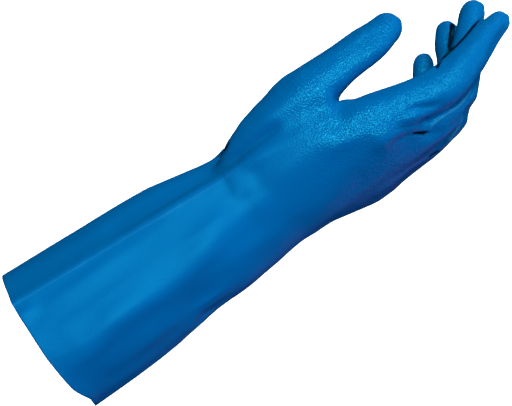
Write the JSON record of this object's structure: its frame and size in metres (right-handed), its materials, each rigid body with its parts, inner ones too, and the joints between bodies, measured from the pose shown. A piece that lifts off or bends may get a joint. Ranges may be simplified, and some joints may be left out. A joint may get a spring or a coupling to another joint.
{
  "type": "nitrile chemical glove",
  "caption": "Gauntlet-length dipped nitrile work glove for the right hand, open at the cuff, in the form it takes when worn: cupped palm, free thumb and curled fingers.",
  "frame": {"origin": "centre of the cuff's mouth, in the plane of its edge, where the forearm enters", "axes": "+X along the forearm from the cuff to the fingertips, +Y the way that the palm faces, +Z towards the thumb's side"},
  "size_m": [0.3098, 0.0921, 0.0954],
  "materials": {
    "nitrile": "satin dipped nitrile with a fine pebbled grain"
  },
  "bodies": {
    "root": {"glove_skin": "nitrile"}
  },
  "joints": []
}
